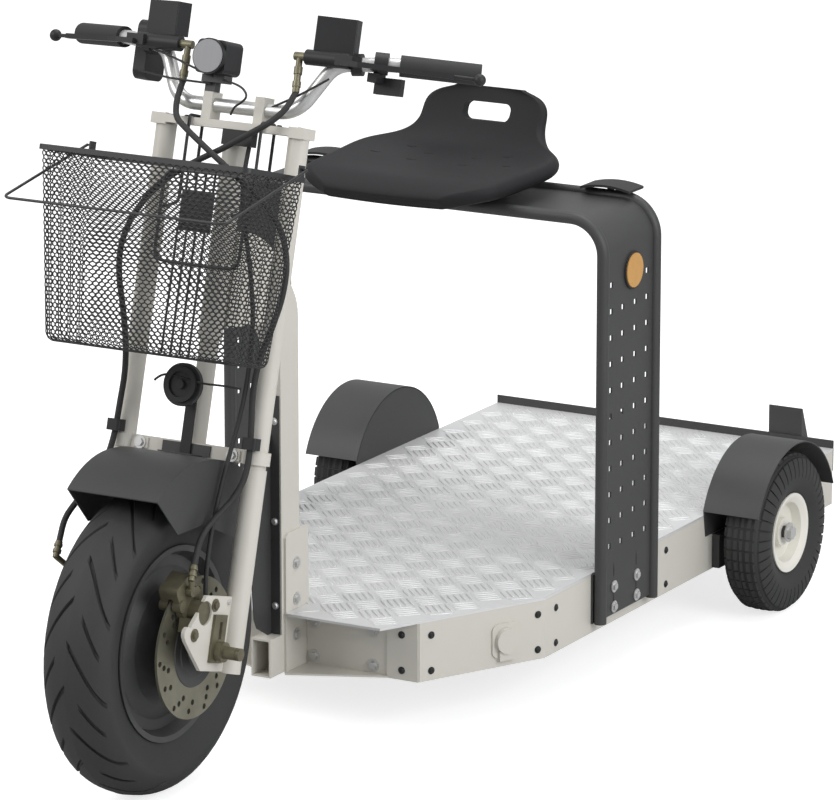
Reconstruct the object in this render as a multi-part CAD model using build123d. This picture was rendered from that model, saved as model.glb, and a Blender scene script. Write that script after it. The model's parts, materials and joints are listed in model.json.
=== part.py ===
from build123d import *
from math import atan2, cos, degrees, hypot, pi, radians, sin, tan
import os

# Three-wheeled industrial platform scooter, in millimetres.
# X runs across the vehicle (its left is +X), the front faces -Y, the floor is z = 0.
# The origin lies on the floor, midway between the front tyre's tip and the rear bracket's tip.

os.makedirs("parts", exist_ok=True)

# Wheels
front_axle_y = -750.5
front_tyre_r = 237.0
front_tyre_width = 112.0
front_rim_r = 152.0
rear_axle_y = 597.0
rear_tyre_r = 136.5
rear_tyre_width = 76.0
rear_rim_r = 68.5
rear_outer_x = 436.0
tyre_gap = 0.3

# Steering: the axis leans rearwards and meets the floor at steer_y0
rake = 15.5
steer_y0 = -753.5
leg_x = 117.5
leg_lead = 14.0
stanchion_r = 16.0
slider_r = 18.0
bridge_h = 513.0
bridge_thick = 20.0
slider_top = bridge_h - 7
slider_length = 310.0
crown_rise = 499.0
crown_h = bridge_h + crown_rise
crown_thick = 12.0
crown_half = 135.0
steerer_r = 15.0
head_tube_r = 18.5
head_tube_length = 318.0
head_tube_top = crown_h - 4
head_tube_low = head_tube_top - head_tube_length
turning_gap = 0.5

# Handlebar and controls, in the steering frame
bar_r = 11.0
bar_rise = 35.0
bar_h = crown_h + bar_rise
bar_lead = 9.0
grip_rise = 93.0
grip_h = bar_h + grip_rise
bar_points = [(105, bar_lead, bar_h), (150, -10, grip_h - 12), (232, -32, grip_h - 2), (352, -90, grip_h)]
bar_radii = [50, 45, 120]
grip_r = 16.5
control_h = grip_h - 6
riser_x = 46.0
lamp_x = -37.0
lamp_h = bar_h + 71
lamp_r = 25.5
hose_r = 4.75
cable_r = 3.5

# Deck and chassis
deck_top = 188.0
deck_thick = 4.0
deck_half = 334.5
deck_rear_y = 959.0
deck_corner_y = -106.5
deck_front_y = -386.0
deck_front_half = 193.0
chassis_height = 100.0
chassis_front_y = -320.0
wall = 3.0
flange = 28.0
lip_height = 14.0

# Column
column_width = 35.0
column_depth = 55.0
column_front_y = -389.5
stub_height = 62.0
stub_front_y = -425.5

# Arch over the deck
arch_x = 348.0
arch_front_y = 57.5
arch_rear_y = 238.5
arch_tube_r = 10.0
arch_foot_z = 104.0
arch_top_z = 768.0
arch_bend_r = 58.0
panel_thick = 3.0
guard_fold_x = -1.0
socket_y = -175.0
socket_z = 131.0
hole_size = 9.5
hole_pitch = 43.2
hole_first_z = 227.0
hole_columns = [84.5, 124.5, 167.5, 208.4]
reflector_y = 158.0
reflector_z = 670.0
reflector_r = 31.0
seat_base_thick = 10.5

# Front mudguard and basket, in the steering frame
mudguard_r = 285.0
mudguard_drop = 17.0
mudguard_half = 80.0
mudguard_sheet = 2.0
rim_drop = 62.0
rim_h = crown_h - rim_drop
rim_band = 8.0
basket_height = 292.0
basket_back = 91.0
basket_front = 262.0
basket_half = 184.0
basket_taper = 18.0
basket_wall = 3.0
bail_rise = 11.0


def slab(x0, x1, y0, y1, z0, z1):
    """A box between two corners."""
    return Pos((x0 + x1) / 2, (y0 + y1) / 2, (z0 + z1) / 2) * Box(x1 - x0, y1 - y0, z1 - z0)


def rod(a, b, r):
    """A round bar from a to b."""
    a, b = Vector(a), Vector(b)
    line = Line(a, b)
    return sweep(Plane(a, z_dir=b - a) * Circle(r), path=line)


def tube_on(points, radii, r):
    """A round bar along straight runs joined by arcs."""
    points = [Vector(p) for p in points]
    if len(points) == 2:
        return rod(points[0], points[1], r)
    path = FilletPolyline(*points, radius=radii)
    return sweep(Plane(points[0], z_dir=points[1] - points[0]) * Circle(r), path=path)


def plate_yz(outline, x0, x1):
    """A plate from an outline in (y, z), between two values of x."""
    face = make_face(Polyline(*[(x0, y, z) for y, z in outline], close=True))
    return extrude(face, amount=x1 - x0, dir=(1, 0, 0))


def plate_xy(outline, z0, z1):
    """A plate from an outline in (x, y), between two heights."""
    face = make_face(Polyline(*[(x, y, z0) for x, y in outline], close=True))
    return extrude(face, amount=z1 - z0, dir=(0, 0, 1))


def sheet_yz(outer, inner, x0, x1):
    """A curved sheet between two smooth lines of points in (y, z), between two values of x."""
    first = Spline(*[Vector(x0, y, z) for y, z in outer])
    second = Spline(*[Vector(x0, y, z) for y, z in inner])
    ends = [Line(first @ 0, second @ 0), Line(first @ 1, second @ 1)]
    return extrude(make_face([first, second] + ends), amount=x1 - x0, dir=(1, 0, 0))


def on_x(x, y, z, r, length):
    """A cylinder whose axis runs along X."""
    return Pos(x, y, z) * Rot(0, 90, 0) * Cylinder(r, length)


def mirrored(shape):
    """The same piece on the other side of the vehicle."""
    return mirror(shape, about=Plane.YZ)


def both_sides(shape):
    return Compound(children=[shape, mirrored(shape)])


# Steering frame: x across, f forwards of the axis, h along the axis from the floor
def at(x, f, h):
    return Vector(x, -f, h)


def steered(shape):
    """Moves a piece from the steering frame to the vehicle."""
    return Pos(0, steer_y0, 0) * Rot(-rake, 0, 0) * shape


def steer_box(x0, x1, f0, f1, h0, h1):
    return slab(x0, x1, -f1, -f0, h0, h1)


def largest_radii(points, share=0.45):
    """Arc radii as large as the runs on both sides of each corner allow."""
    radii = []
    for before, corner, after in zip(points, points[1:], points[2:]):
        turn = radians((corner - before).get_angle(after - corner))
        radii.append(share * min((corner - before).length, (after - corner).length) / tan(turn / 2))
    return radii


def hose(name, route, r):
    """A hose or cable in the steering frame along a route of (x, f, h), with its sizes printed."""
    points = [at(*p) for p in route]
    radii = largest_radii(points)
    shape = tube_on(points, radii, r)
    length = shape.volume / (pi * r * r)
    print(name, "length", round(length), "radii", [round(v) for v in radii])
    return steered(shape)


def stack(a, b, rings):
    """Turned rings along a line: each ring is (start share, end share, radius)."""
    a, b = Vector(a), Vector(b)
    parts = [rod(a + (b - a) * s, a + (b - a) * e, r) for s, e, r in rings]
    return parts[0].fuse(*parts[1:])


sin_rake, cos_rake = sin(radians(rake)), cos(radians(rake))
axle_f = (steer_y0 - front_axle_y) * cos_rake + front_tyre_r * sin_rake
axle_h = (front_axle_y - steer_y0) * sin_rake + front_tyre_r * cos_rake

# Every finished piece by its name
pieces = {}


def tyre(section, x, y, z):
    """A tyre from half its section in (distance from the wheel's plane, radius)."""
    half = [Vector(a, r) for a, r in section]
    other = [Vector(-a, r) for a, r in reversed(section[1:-1])]
    outline = Polyline(*(half + other), close=True)
    ring = revolve(make_face(outline), axis=Axis.X)
    return Pos(x, y, z) * ring


# Rear wheels: pneumatic tyre on a dished two-piece rim
def rear_wheel(side):
    middle_x = side * (rear_outer_x - rear_tyre_width / 2)
    half = rear_tyre_width / 2
    section = [
        (0, rear_tyre_r),
        (half * 0.62, rear_tyre_r - 1.5),
        (half * 0.86, rear_tyre_r - 9),
        (half, rear_tyre_r - 30),
        (half * 0.98, rear_tyre_r - 46),
        (half * 0.82, rear_rim_r + 6),
        (half * 0.72, rear_rim_r),
        (half * 0.66, rear_rim_r - 12),
        (0, rear_rim_r - 12),
    ]
    rubber = tyre(section, middle_x, rear_axle_y, rear_tyre_r)
    bead = half * 0.66 + tyre_gap
    lip = half * 0.72 + 3
    rim_section = [
        (-lip, rear_rim_r - 1), (-lip + 2.4, rear_rim_r - 1), (-bead, rear_rim_r - 12 - tyre_gap),
        (bead, rear_rim_r - 12 - tyre_gap), (lip - 2.4, rear_rim_r - 1), (lip, rear_rim_r - 1),
        (lip - 1, rear_rim_r - 8), (bead - 1, rear_rim_r - 17), (half * 0.22, rear_rim_r - 20),
        (half * 0.12, 24), (half * 0.45, 24), (half * 0.45, 10.5), (-half * 0.85, 10.5),
        (-half * 0.85, 24), (-half * 0.12, 24), (-half * 0.05, rear_rim_r - 20), (-bead + 1, rear_rim_r - 17),
        (-lip + 1, rear_rim_r - 8),
    ]
    outline = Polyline(*[Vector(a * side, r) for a, r in rim_section], close=True)
    rim = Pos(middle_x, rear_axle_y, rear_tyre_r) * revolve(make_face(outline), axis=Axis.X)
    return rubber, rim


for side, name in ((1, "left"), (-1, "right")):
    pieces[f"rear_tyre_{name}"], pieces[f"rear_rim_{name}"] = rear_wheel(side)

# Front wheel: road tyre on a wheel with a hub motor, a brake disc on each side
half = front_tyre_width / 2
front_section = [
    (0, front_tyre_r),
    (half * 0.45, front_tyre_r - 4),
    (half * 0.80, front_tyre_r - 15),
    (half, front_tyre_r - 33),
    (half * 0.97, front_tyre_r - 48),
    (half * 0.80, front_rim_r + 10),
    (half * 0.72, front_rim_r),
    (half * 0.62, front_rim_r - 10),
    (0, front_rim_r - 10),
]
pieces["front_tyre"] = tyre(front_section, 0, front_axle_y, front_tyre_r)
bead = half * 0.62 + tyre_gap
lip = half * 0.72 + 3
seat_r = front_rim_r - 10 - tyre_gap
motor_side = [
    (bead, seat_r), (lip - 2.6, front_rim_r - 1), (lip, front_rim_r - 1), (lip - 1, front_rim_r - 10),
    (24, 134), (24, 118), (34, 96), (46, 34), (69.7, 30), (69.7, 8.5),
]
outline = motor_side + [(-a, r) for a, r in reversed(motor_side)]
motor = revolve(make_face(Polyline(*[Vector(a, r) for a, r in outline], close=True)), axis=Axis.X)
pieces["hub_motor_rim"] = Pos(0, front_axle_y, front_tyre_r) * motor
disc_x, disc_r, disc_thick = 80.0, 109.5, 4.0
disc = on_x(disc_x, 0, 0, disc_r, disc_thick) - on_x(disc_x, 0, 0, 62, 20)
disc += on_x(disc_x - 4, 0, 0, 66, 12) - on_x(disc_x, 0, 0, 9, 40)
holes = []
for group in range(14):
    rings = (101, 90, 79) if group % 2 else (97, 84)
    for k, radius in enumerate(rings):
        turn = 2 * pi * (group + 0.22 * k) / 14
        holes.append(on_x(disc_x, radius * cos(turn), radius * sin(turn), 4.5, 20))
disc -= Compound(children=holes)
pieces["brake_discs"] = Pos(0, front_axle_y, front_tyre_r) * both_sides(disc)

# Fork: crown, lower bridge, stanchions and sliders with the axle plates
crown_top = crown_h + crown_thick
crown = steer_box(-crown_half, crown_half, 2, 34, crown_h, crown_top)
crown += Pos(0, 0, crown_h + crown_thick / 2) * Cylinder(27, crown_thick)
crown_end = steer_box(leg_x - 9, crown_half, -3, 34, crown_h - 3, crown_top + 2)
crown += crown_end + mirrored(crown_end)
pieces["fork_crown"] = steered(crown)

bridge_top = bridge_h + bridge_thick
bridge_face = leg_lead + 11
bridge = steer_box(-leg_x, leg_x, leg_lead - 21, bridge_face, bridge_h, bridge_top)
bridge += Pos(0, 0, bridge_h + bridge_thick / 2) * Cylinder(24, bridge_thick)
for x in (-leg_x, leg_x):
    bridge += Pos(x, -leg_lead, bridge_h + bridge_thick / 2) * Cylinder(stanchion_r + 5, bridge_thick)
    bridge -= Pos(x, -leg_lead, bridge_h) * Cylinder(stanchion_r + 0.1, 4 * bridge_thick)
bridge -= Pos(0, 0, bridge_h + bridge_thick) * Cylinder(steerer_r + 0.05, bridge_thick)
tab = steer_box(69, 95, bridge_face, bridge_face + 2.5, bridge_h + 2, bridge_top - 2)
bridge += tab + mirrored(tab)
pieces["fork_bridge"] = steered(bridge)
stem_low = bridge_h + bridge_thick / 2
stem = Pos(0, 0, (stem_low + crown_h) / 2) * Cylinder(steerer_r, crown_h - stem_low)
pieces["steerer"] = steered(stem)
stanchion_top = crown_h - 3
stanchion = Cylinder(stanchion_r, stanchion_top - slider_top)
stanchion = Pos(leg_x, -leg_lead, (slider_top + stanchion_top) / 2) * stanchion
pieces["stanchions"] = steered(both_sides(stanchion))

plate_x0, plate_x1 = 111.0, 117.0
cap_f, cap_h, cap_r = axle_f + 44, axle_h + 56, 18.0
slider_low = slider_top - slider_length
axle_plate = [(32, 312), (106, 312), (118, 292), (139, 266), (153, 243), (98, 198), (21, 198)]
ear = (147, 253)
slider = Pos(leg_x, -leg_lead, (slider_low + slider_top) / 2) * Cylinder(slider_r, slider_length)
slider += plate_yz([(-f, h) for f, h in axle_plate], plate_x0, plate_x1)
slider += on_x((plate_x0 + plate_x1) / 2, -ear[0], ear[1], 10.5, plate_x1 - plate_x0)
slider -= on_x(leg_x, -axle_f, axle_h, 8.3, 60)
slider -= on_x(leg_x, -cap_f, cap_h, cap_r + 0.6, 60)
pieces["fork_legs"] = steered(both_sides(slider))
axle_end_x = 162.0
axle = on_x(0, -axle_f, axle_h, 8.0, 2 * axle_end_x)
nut_face = plate_x1 + 5
nut = on_x(nut_face + 6, -axle_f, axle_h, 15.5, 12)
nut += on_x((nut_face + 12 + axle_end_x) / 2, -axle_f, axle_h, 9.8, axle_end_x - nut_face - 12)
nut -= on_x(axle_end_x - 6, -axle_f, axle_h, 11, 2) - on_x(axle_end_x - 6, -axle_f, axle_h, 9, 2)
torque_plate = steer_box(plate_x1, nut_face, axle_f - 15, axle_f + 20, axle_h - 18, axle_h + 55)
torque_plate -= steer_box(plate_x1 - 1, nut_face + 1, axle_f - 3, axle_f + 5, axle_h + 18, axle_h + 44)
axle += both_sides(nut + torque_plate)
pieces["front_axle"] = steered(axle)


# Front mudguard: curved sheet with side flanges, on a tab at the bridge
def wheel_point(r, angle):
    """A point (f, h) round the front axle, angle measured forwards from straight up."""
    return (axle_f + r * sin(radians(angle)), axle_h + r * cos(radians(angle)))


def guard_radius(angle):
    """The sheet follows the wheel and draws in towards its front edge."""
    return mudguard_r - mudguard_drop * (max(angle - 12, 0) / 25) ** 2


def guard_line(inside, angles):
    return [(-f, h) for f, h in (wheel_point(guard_radius(a) - inside, a) for a in angles)]


guard_angles = [37, 30, 24, 18, 12, 6, 0, -6, -12, -19, -26]
sheet = sheet_yz(guard_line(0, guard_angles), guard_line(mudguard_sheet, guard_angles),
                 -mudguard_half, mudguard_half)
flange_line = guard_line(1, guard_angles)
flange_low = [(152, 397), (81, 415), (-17, 398), (-40, 440)]
flange_edge = Spline(*[Vector(mudguard_half, y, z) for y, z in flange_line])
lower_edge = Polyline(*[flange_edge @ 1] + [Vector(mudguard_half, -f, h) for f, h in reversed(flange_low)]
                      + [flange_edge @ 0])
flange_face = make_face(flange_edge.edges() + lower_edge.edges())
flange_side = extrude(flange_face, amount=mudguard_sheet, dir=(-1, 0, 0))
pieces["front_mudguard"] = steered(sheet + flange_side + mirrored(flange_side))
stay = steer_box(-42.6, 42.6, bridge_face, bridge_face + 2.5, bridge_h + 1.5, bridge_top - 1.5)
stay_angles = [0, -3, -6.6]
tab_lines = []
for lift in (2.3, 0.3):
    places = [wheel_point(mudguard_r + lift, a) for a in stay_angles]
    tab_lines.append([(-f, h) for f, h in places])
stay += sheet_yz(tab_lines[0], tab_lines[1], -30, 30)
pieces["mudguard_stay"] = steered(stay)

# Handlebar on two risers
half_bar = [at(x, f, h) for x, f, h in bar_points]
all_points = [at(-x, f, h) for x, f, h in reversed(bar_points)] + half_bar
radii = list(reversed(bar_radii)) + bar_radii
pieces["handlebar"] = steered(tube_on(all_points, radii, bar_r))
riser_top = bar_h + bar_r + 8
clamp = steer_box(riser_x - 8, riser_x + 8, bar_lead - 16, bar_lead + 14, crown_top, riser_top)
clamp -= rod(at(riser_x - 20, bar_lead, bar_h), at(riser_x + 20, bar_lead, bar_h), bar_r + 0.1)
pieces["bar_risers"] = steered(both_sides(clamp))
inner, outer = half_bar[2], half_bar[3]
along = (outer - inner).normalized()
grip_start = inner + along * 15
grip = rod(grip_start, outer + along * 4, grip_r) - rod(inner, outer + along * 0.2, bar_r + 0.1)
pieces["grips"] = steered(both_sides(grip))

# Hydraulic brake controls: master cylinder, reservoir and lever
bar_gap = tube_on(half_bar, bar_radii[1:], bar_r + 0.2)
reservoir = Pos(at(150, -6, control_h + 38)) * Rot(0, 0, 15) * Box(64, 30, 52)
reservoir = fillet(reservoir.edges().filter_by(Axis.Z), 2)
cylinder = rod(at(112, 12, control_h), at(188, 12, control_h), 12)
perch = rod(at(174, -19, control_h - 3), at(190, -24, control_h - 1), 17)
control = cylinder + perch + steer_box(128, 186, -14, 14, control_h + 2, control_h + 11.7)
control += steer_box(170, 200, 0, 30, control_h - 8, control_h + 8)
blade_outline = [(184, -38), (214, -38), (238, -24), (346, 26), (342, 34), (232, -15), (210, -29), (184, -29)]
blade = plate_xy(blade_outline, control_h - 8, control_h - 0.2)
blade += rod(at(340, -29, control_h - 4), at(376, -47, control_h - 4), 3)
blade += Pos(at(378, -48, control_h - 4)) * Sphere(9.5)
pieces["brake_levers"] = steered(both_sides(blade))
pieces["fluid_reservoirs"] = steered(both_sides(reservoir - bar_gap))
control = control - bar_gap - blade - reservoir
pieces["master_cylinders"] = steered(both_sides(control))

# Right-hand switch housing and the thumb throttle on the left
paddle = steer_box(206, 252, -48, -36, control_h - 42, control_h - 16)
paddle += steer_box(206, 222, -40, -12, control_h - 26, control_h - 12)
paddle += rod(inner - along * 24, inner - along * 3, 17)
paddle -= bar_gap
hood = steer_box(-214, -193, -80, -22, control_h - 58, control_h + 34)
hood = fillet(hood.edges().filter_by(Axis.X), 14)
pieces["switchgear"] = steered(Compound(children=[hood - mirrored(bar_gap), paddle]))

# Headlamp on its bracket
lamp_front = 53.0
lamp = rod(at(lamp_x, lamp_front - 8, lamp_h), at(lamp_x, lamp_front, lamp_h), lamp_r + 2)
case = steer_box(lamp_x - 26, lamp_x + 26, lamp_front - 58, lamp_front - 8, lamp_h - 26, lamp_h + 26)
lamp += fillet(case.edges().filter_by(Axis.Y), 9)
lamp -= rod(at(lamp_x, lamp_front - 4, lamp_h), at(lamp_x, lamp_front + 1, lamp_h), lamp_r)
pieces["headlamp_body"] = steered(lamp)
lens = rod(at(lamp_x, lamp_front - 3.8, lamp_h), at(lamp_x, lamp_front + 2, lamp_h), lamp_r - 0.2)
pieces["headlamp_lens"] = steered(lens)
holder = steer_box(lamp_x - 20, lamp_x + 20, 6, 30, lamp_h - 38, lamp_h - 26.3)
holder += steer_box(lamp_x - 17, lamp_x + 1, 6, 22, riser_top, lamp_h - 38)
pieces["headlamp_bracket"] = steered(holder)
box_back = head_tube_r + 5.5
pieces["cable_box"] = steered(steer_box(-2, 51, box_back, box_back + 16, crown_h - 24, crown_h))

# Horn on a strip at the bridge
horn_h = bridge_h + 106
horn = rod(at(0, 56, horn_h), at(0, 64, horn_h), 33) + rod(at(0, 50, horn_h), at(0, 70, horn_h), 27)
horn -= rod(at(0, 66, horn_h), at(0, 80, horn_h), 20)
horn += rod(at(0, 60, horn_h), at(0, 72, horn_h), 7)
horn += steer_box(-9, 9, bridge_face + 2.8, bridge_face + 5.8, bridge_h + 3, horn_h + 8)
horn += steer_box(-9, 9, bridge_face + 5.8, 50, horn_h - 8, horn_h + 8)
pieces["horn"] = steered(horn)


# Brake calipers over the front of the discs
def caliper_side():
    out_f, out_h = 0.637, 0.771
    corners = []
    for out, across in ((74, -25), (130, -25), (130, 25), (74, 25)):
        corners.append((-(axle_f + out_f * out + out_h * across), axle_h + out_h * out - out_f * across))
    body = plate_yz(corners, disc_x - 16, disc_x + 16)
    body = fillet(body.edges().filter_by(Axis.X), 8)
    body += rod(at(disc_x + 10, cap_f, cap_h), at(disc_x + 34, cap_f, cap_h), cap_r)
    body += rod(at(disc_x - 19, axle_f + 80, axle_h + 62), at(disc_x + 19, axle_f + 80, axle_h + 62), 9)
    body += rod(at(disc_x - 19, axle_f + 46, axle_h + 86), at(disc_x + 19, axle_f + 46, axle_h + 86), 9)
    body += steer_box(disc_x + 10, plate_x0 - 0.1, axle_f + 50, axle_f + 72, axle_h + 24, axle_h + 46)
    slot = on_x(disc_x, -axle_f, axle_h, disc_r + 6, disc_thick + 4)
    return body - slot


pieces["brake_calipers"] = steered(both_sides(caliper_side()))

# Brake hoses and the motor cable, held along the fork
hose_right = [
    (-92.5, 25, 1076), (-93, 35, 1048), (-80, 53, 1020), (-46, 67, 1001), (8, 72, 968), (66, 69, 931),
    (110, 61, 900), (138, 56, 860), (150, 54, 815), (149, 55, 767), (136, 53, 718), (119, 49, 670),
    (113, 45, 620), (117, 42, 572), (120, 41, 528), (119, 44, 490), (110, 56, 458), (100, 77, 432),
    (93, 95, 410), (95, 114, 386), (102, 130, 354),
]
hose_left = [
    (107.5, 25, 1078), (103, 38, 1052), (87, 50, 1029), (55, 57, 1007), (14, 58, 981), (-32, 57, 957),
    (-72, 59, 931), (-108, 58, 897), (-134, 57, 858), (-145, 58, 814), (-141, 57, 770), (-128, 55, 726),
    (-117, 51, 676), (-113, 47, 626), (-118, 43, 577), (-121, 41, 530), (-122, 52, 491), (-123, 78, 456),
    (-125, 114, 426), (-127, 143, 396), (-122, 157, 360),
]
cable_route = [
    (44, 33, 987.2), (46, 41, 948), (53, 48, 903), (71, 52, 851), (88, 52, 795), (100, 50, 735),
    (103, 48, 675),
    (102, 47, 620), (97, 48, 570), (91, 55, 510), (89, 65, 450), (91, 75, 395), (94, 79, 340), (98, 74, 288),
    (102, 65, 241),
]
pieces["brake_hose_right"] = hose("brake_hose_right", hose_right, hose_r)
pieces["brake_hose_left"] = hose("brake_hose_left", hose_left, hose_r)
pieces["motor_cable"] = hose("motor_cable", cable_route, cable_r)

def hose_room(route):
    """What a clip or an end fitting leaves free round a brake hose."""
    points = [at(*p) for p in route]
    return tube_on(points, largest_radii(points), hose_r + 0.1)


# Banjo bolts and crimped ends of the hoses
crimp = ((0, 0.35, 5.0), (0.3, 0.5, 6.6), (0.5, 0.72, 5.2), (0.7, 0.85, 6.6), (0.85, 1, 5.6))
fittings = []
for side, route in ((-1, hose_right), (1, hose_left)):
    joint = at(side * 99, 12, control_h)
    end = at(*route[0])
    banjo = rod(at(side * 91, 12, control_h), at(side * 111.7, 12, control_h), 6.5)
    fittings.append(stack(joint, end, crimp) + banjo - hose_room(route))
for side, route in ((1, hose_right), (-1, hose_left)):
    end = at(*route[-1])
    way = (end - at(*route[-2])).normalized()
    seat = at(side * (disc_x + 22.5), axle_f + 68, axle_h + 86)
    banjo = on_x(side * (disc_x + 21.3), seat.Y, seat.Z, 8, 10)
    foot = end + way * 26
    fittings.append(stack(foot, end, crimp) + rod(foot - way * 2, seat, 4.6) + banjo - hose_room(route))
pieces["hose_fittings"] = steered(Compound(children=fittings))
clips = []
for side, route in ((1, hose_right), (-1, hose_left)):
    wrap = steer_box(108, 133, leg_lead + stanchion_r + 0.3, 52, bridge_h + 22, bridge_h + 40)
    wrap = fillet(wrap.edges().filter_by(Axis.Z), 6)
    wrap = wrap if side > 0 else mirrored(wrap)
    clips.append(wrap - hose_room(route))
pieces["hose_clips"] = steered(Compound(children=clips))


# Basket: open-topped, tapering to its floor
def basket_section(h, half_width, front, back, radius):
    plane = Plane((0, -(front + back) / 2, h), x_dir=(1, 0, 0), z_dir=(0, 0, 1))
    return plane * RectangleRounded(2 * half_width, front - back, radius)


floor_h = rim_h - basket_height
wall_top = rim_h - rim_band
low_half = basket_half - basket_taper
low_front = basket_front - 51
shell = loft([basket_section(floor_h, low_half, low_front, basket_back, 16),
              basket_section(wall_top, basket_half, basket_front, basket_back, 10)])
shell = fillet(shell.edges().group_by(Axis.Z)[0], 12)
hollow = loft([basket_section(floor_h + basket_wall, low_half - basket_wall, low_front - basket_wall,
                              basket_back + basket_wall, 13),
               basket_section(wall_top + 1, basket_half - basket_wall, basket_front - basket_wall,
                              basket_back + basket_wall, 8)])
hollow = fillet(hollow.edges().group_by(Axis.Z)[0], 9)
pieces["basket"] = steered(shell - hollow)
band = extrude(basket_section(wall_top, basket_half + 2, basket_front + 2, basket_back - 2, 12), rim_band)
band -= extrude(basket_section(wall_top, basket_half - 3, basket_front - 3, basket_back + 3, 8), rim_band)
hook_plate_top = rim_h - 38
carrier = [steer_box(-28, 28, basket_back - 4, basket_back - 0.3, hook_plate_top - 62, hook_plate_top)]
hook_f = 38.0
for x in (-64, 64):
    over = crown_top + 2.8
    foot = hook_plate_top - 32
    route = [at(x, basket_back - 0.9, foot), at(x, hook_f, foot + 13), at(x, hook_f, over), at(x, -2, over),
             at(x, -2, crown_h - 82)]
    carrier.append(tube_on(route, [14, 4.5, 4.5], 2.5))
for x in (-24, -8, 8, 24):
    carrier.append(rod(at(x, basket_back - 4, hook_plate_top - 8), at(x, basket_back - 4, rim_h - 12), 1.8))
pieces["basket_carrier"] = steered(carrier[0].fuse(*carrier[3:]) + Compound(children=carrier[1:3]))

# Basket bail, hinged at the rim and folded down in front
bail_pivot = (110, rim_h + bail_rise)
bail_half = basket_half + 10
bail_front = (basket_front + 64, rim_h - 88)
bail_route = [at(-bail_half, *bail_pivot), at(-bail_half, *bail_front), at(bail_half, *bail_front),
              at(bail_half, *bail_pivot)]
pieces["basket_bail"] = steered(tube_on(bail_route, [14, 14], 2.2))
ear_plate = steer_box(basket_half - 0.5, basket_half + 2, bail_pivot[0] - 8, bail_pivot[0] + 8,
                      rim_h, rim_h + 17)
ear_plate += rod(at(basket_half + 1, *bail_pivot), at(bail_half - 2.6, *bail_pivot), 2)
pieces["basket_rim"] = steered(band + ear_plate + mirrored(ear_plate))

# Chassis: folded tray with a flared nose, open below between its return flanges
nose_slope = (deck_half - deck_front_half) / (deck_corner_y - deck_front_y)
nose_half = deck_half - nose_slope * (deck_corner_y - chassis_front_y)
tray_outline = [
    (-deck_half, deck_rear_y), (-deck_half, deck_corner_y),
    (-nose_half, chassis_front_y), (nose_half, chassis_front_y),
    (deck_half, deck_corner_y), (deck_half, deck_rear_y),
]
tray_top = deck_top - deck_thick
tray_low = deck_top - chassis_height


def inset(outline, d):
    face = make_face(Polyline(*outline, close=True))
    return offset(face, amount=-d, kind=Kind.INTERSECTION)


tray = plate_xy(tray_outline, tray_low, tray_top)
tray -= Pos(0, 0, tray_low + wall) * extrude(inset(tray_outline, wall), chassis_height)
tray -= Pos(0, 0, tray_low - 1) * extrude(inset(tray_outline, flange), 10)
spine_half = column_width / 2
notch = column_width / 2 + 4.5
tray -= slab(-notch, notch, chassis_front_y - 5, chassis_front_y + 10, tray_low - 1, tray_top + 1)
gusset_outline = [(notch, chassis_front_y), (notch, column_front_y), (177, chassis_front_y)]
gusset = plate_xy(gusset_outline, tray_low, tray_low + wall)
nose_plate = slab(168.5, nose_half - 2, chassis_front_y - 2.5, chassis_front_y, tray_low, tray_top)
corner = gusset + nose_plate
pieces["chassis_tray"] = tray + corner + mirrored(corner)
deck_outline = [
    (-deck_half, deck_rear_y), (-deck_half, deck_corner_y), (-deck_front_half, deck_front_y),
    (deck_front_half, deck_front_y), (deck_half, deck_corner_y), (deck_half, deck_rear_y),
]
deck = plate_xy(deck_outline, tray_top, deck_top)
plate_out = spine_half + 4
column_rear_y = column_front_y + column_depth
deck -= slab(-plate_out - 0.5, plate_out + 0.5, deck_front_y - 5, column_rear_y + 22, 0, 400)
pieces["deck_plate"] = deck
lip_low, lip_top = tray_low + 60, deck_top + lip_height
pieces["rear_lip"] = slab(-deck_half, deck_half, deck_rear_y, deck_rear_y + wall, lip_low, lip_top)
tail_y = deck_rear_y + 3
tail = slab(208, 272, tail_y, tail_y + 3, tray_top - 34, 251)
tail += plate_yz([(tail_y + 3, 251), (tail_y + 3, 180), (tail_y + 25.5, 195)], 269, 272)
pieces["rear_bracket"] = tail
spine_low = tray_low + wall
spine_top = spine_low + stub_height
spine = slab(-spine_half, spine_half, stub_front_y, deck_rear_y - wall - 0.3, spine_low, spine_top)
spine -= slab(-spine_half + 3, spine_half - 3, stub_front_y - 1, deck_rear_y, spine_low + 3, spine_top - 3)
pieces["spine_tube"] = spine
pieces["battery_block"] = both_sides(slab(60, 220, -40, 220, 110, tray_top))

# Charging socket on the flared side, under a hinged cap
socket_x = deck_half - nose_slope * (deck_corner_y - socket_y)
nose_angle = degrees(atan2(deck_corner_y - deck_front_y, deck_half - deck_front_half))
socket_frame = Pos(socket_x, socket_y, socket_z) * Rot(0, 0, nose_angle - 90) * Rot(0, 90, 0)
pieces["socket_flange"] = socket_frame * extrude(RectangleRounded(56, 52, 12), 3)
lid = socket_frame * (Pos(0, 0, 3.3) * extrude(Circle(21), 8))
lid += socket_frame * (Pos(24, 0, 3.3) * extrude(Rectangle(16, 30), 5))
pieces["socket_lid"] = lid

# Column with its neck to the head tube
neck_low, neck_high = 712.0, 858.0


def axis_point(f, h):
    """A point of the steering frame as (y, z) of the vehicle."""
    return (steer_y0 - f * cos_rake + h * sin_rake, f * sin_rake + h * cos_rake)


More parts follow.
